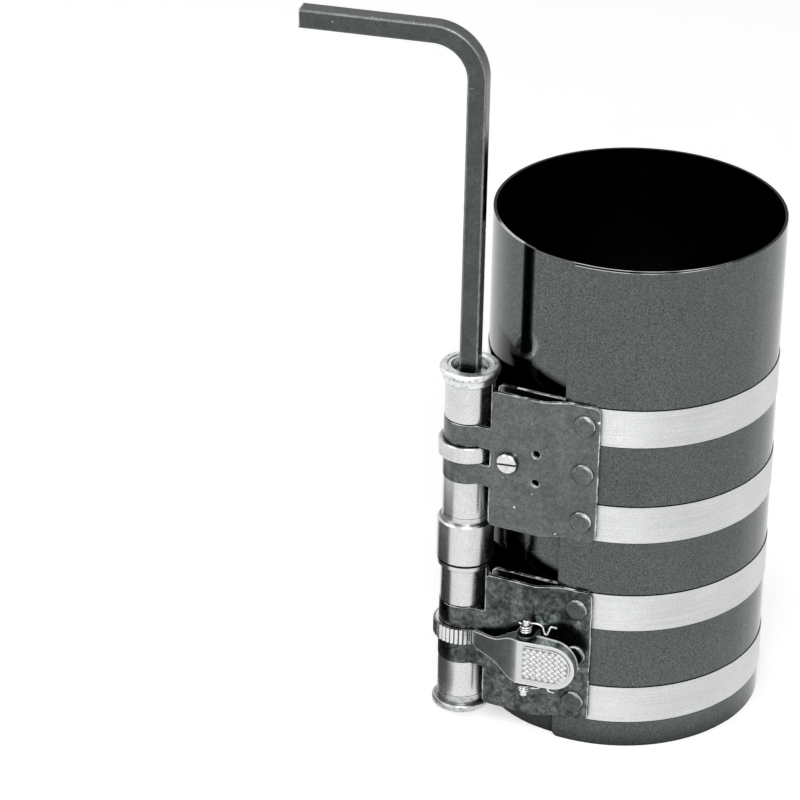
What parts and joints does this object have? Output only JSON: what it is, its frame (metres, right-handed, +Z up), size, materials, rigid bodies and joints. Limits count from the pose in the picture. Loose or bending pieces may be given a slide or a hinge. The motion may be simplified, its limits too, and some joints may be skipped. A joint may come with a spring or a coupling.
{
  "type": "piston ring compressor",
  "caption": "Ratcheting piston ring compressor: a wound steel sheet drawn tight by flat bands on a ratchet spindle, with a pawl lever and a cranked square key.",
  "frame": {"origin": "centre of the piston bore in the plane of the sheet's lower rim", "axes": "+Z up along the bore, towards the key; +X along the plates from the spindle to the rivets; -Y the way the plates face"},
  "size_m": [0.1375, 0.1061, 0.2389],
  "materials": {
    "blued_spring_sheet": "near-mirror dark blued spring steel, fine rolled grain",
    "bright_band_steel": "bright cold-rolled strip, fine lengthwise grain",
    "black_oxide_plate": "dark oxide, speckled, bright worn edges",
    "dark_key_steel": "dark oxide bar, bright worn edges",
    "bright_pressed_steel": "bright pressed steel, knurled pad",
    "plated_small_steel": "bright plated",
    "turned_bright_steel": "bright turned steel, fine ring marks"
  },
  "bodies": {
    "cylinder": {"wrap_sheet": "blued_spring_sheet", "tension_band_1": "bright_band_steel", "tension_band_2": "bright_band_steel", "tension_band_3": "bright_band_steel", "tension_band_4": "bright_band_steel", "upper_plate": "black_oxide_plate", "lower_plate": "black_oxide_plate", "upper_rivets": "black_oxide_plate", "lower_rivets": "black_oxide_plate", "clamp_screw": "plated_small_steel", "clamp_nut": "plated_small_steel", "lever_bracket": "black_oxide_plate", "bracket_rivets": "black_oxide_plate", "lever_pivot_pin": "plated_small_steel", "lever_springs": "plated_small_steel"},
    "spindle": {"band_coil_1": "bright_band_steel", "band_coil_2": "bright_band_steel", "band_coil_3": "bright_band_steel", "band_coil_4": "bright_band_steel", "spindle_shaft": "turned_bright_steel", "top_flange_bush": "turned_bright_steel", "centre_sleeve": "turned_bright_steel", "sleeve_washer": "turned_bright_steel", "spacer_ring": "turned_bright_steel", "bottom_end_cap": "turned_bright_steel", "ratchet_wheel": "turned_bright_steel"},
    "lever": {"release_lever": "bright_pressed_steel"},
    "key": {"square_key": "dark_key_steel"}
  },
  "joints": [
    {"name": "spindle_turn", "type": "hinge", "parent": "cylinder", "child": "spindle", "pos_m": [-0.03644, -0.0457, 0], "axis": [0, 0, 1], "range_deg": [0, 1944]},
    {"name": "key_lift", "type": "slide", "parent": "spindle", "child": "key", "axis": [0, 0, 1], "range_m": [0, 0.018]},
    {"name": "lever_release", "type": "hinge", "parent": "cylinder", "child": "lever", "pos_m": [-0.0101, -0.0562, 0.0324], "axis": [0, 0, 1], "range_deg": [0, 10], "stiffness_Nm_per_rad": 0.05, "springref_deg": -11.46, "deforming": ["lever_springs"]}
  ]
}
